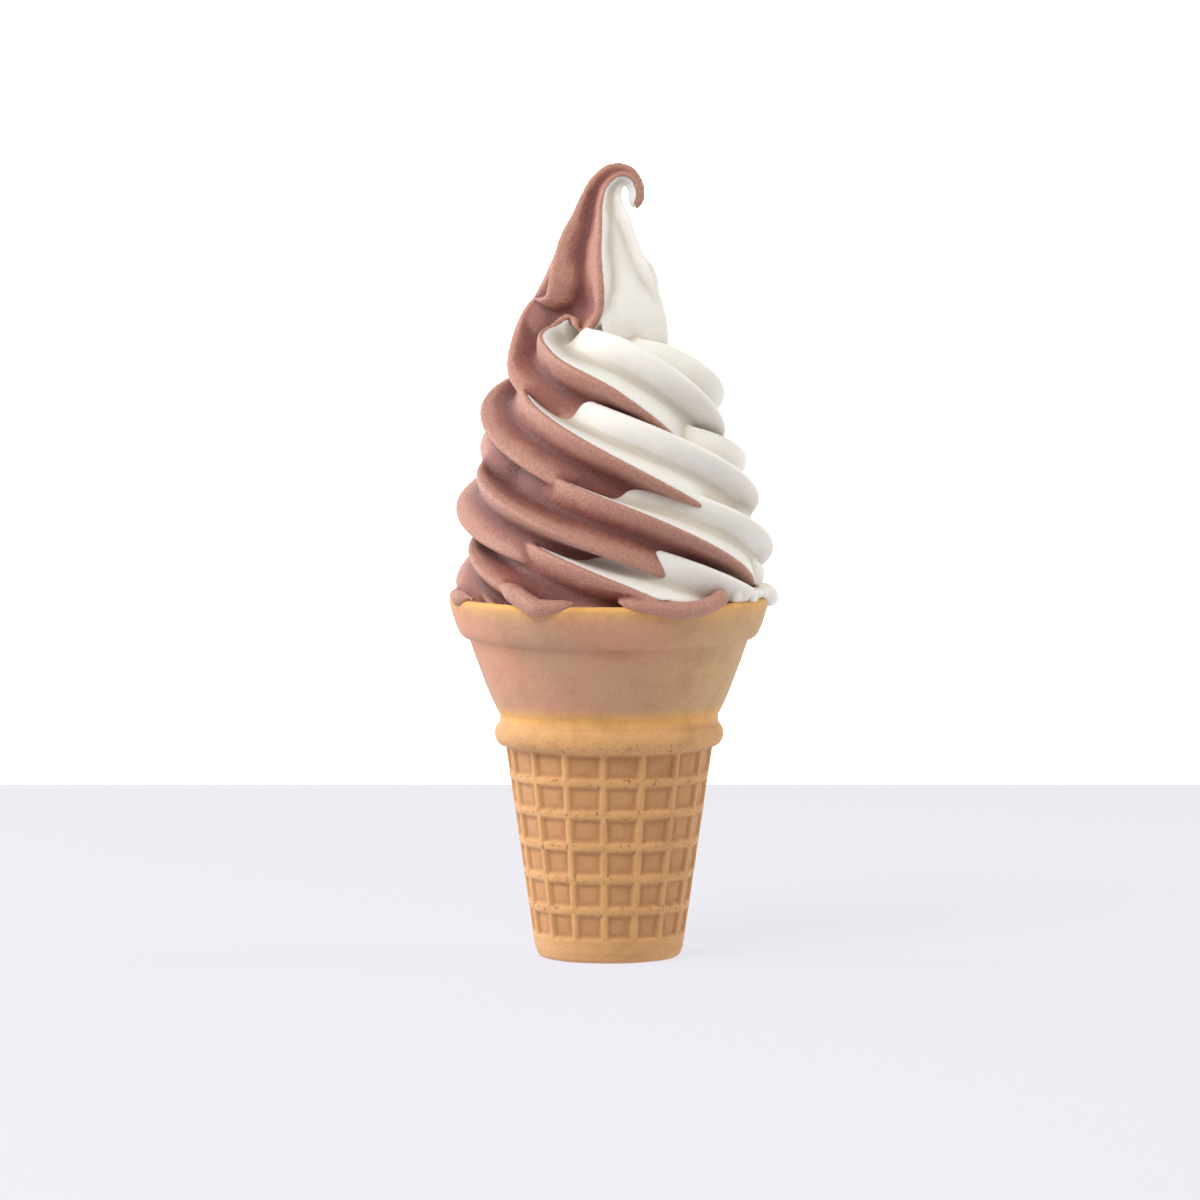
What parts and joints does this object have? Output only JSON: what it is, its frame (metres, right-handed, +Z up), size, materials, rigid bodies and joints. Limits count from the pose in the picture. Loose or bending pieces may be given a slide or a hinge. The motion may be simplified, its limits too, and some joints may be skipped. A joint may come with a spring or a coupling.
{
  "type": "soft serve cone",
  "caption": "Two-flavour twist of soft serve coiled into a curled peak above a flat-bottomed wafer cup with a waffle-grid stem.",
  "frame": {"origin": "centre of the cup's flat base, on the surface that it stands on", "axes": "+Z up along the cup's axis to the curled peak, -Y to the front, +X to the vanilla side"},
  "size_m": [0.08, 0.078, 0.1938],
  "materials": {
    "wafer": "baked wafer, dry, matte, golden brown, paler and more golden at the rim",
    "chocolate": "milk-chocolate soft serve, cold and creamy, fine grain, soft satin sheen",
    "vanilla": "vanilla soft serve, creamy off-white, smooth, soft satin sheen"
  },
  "bodies": {
    "root": {"wafer_cup": "wafer", "chocolate_swirl": "chocolate", "vanilla_swirl": "vanilla"}
  },
  "joints": []
}
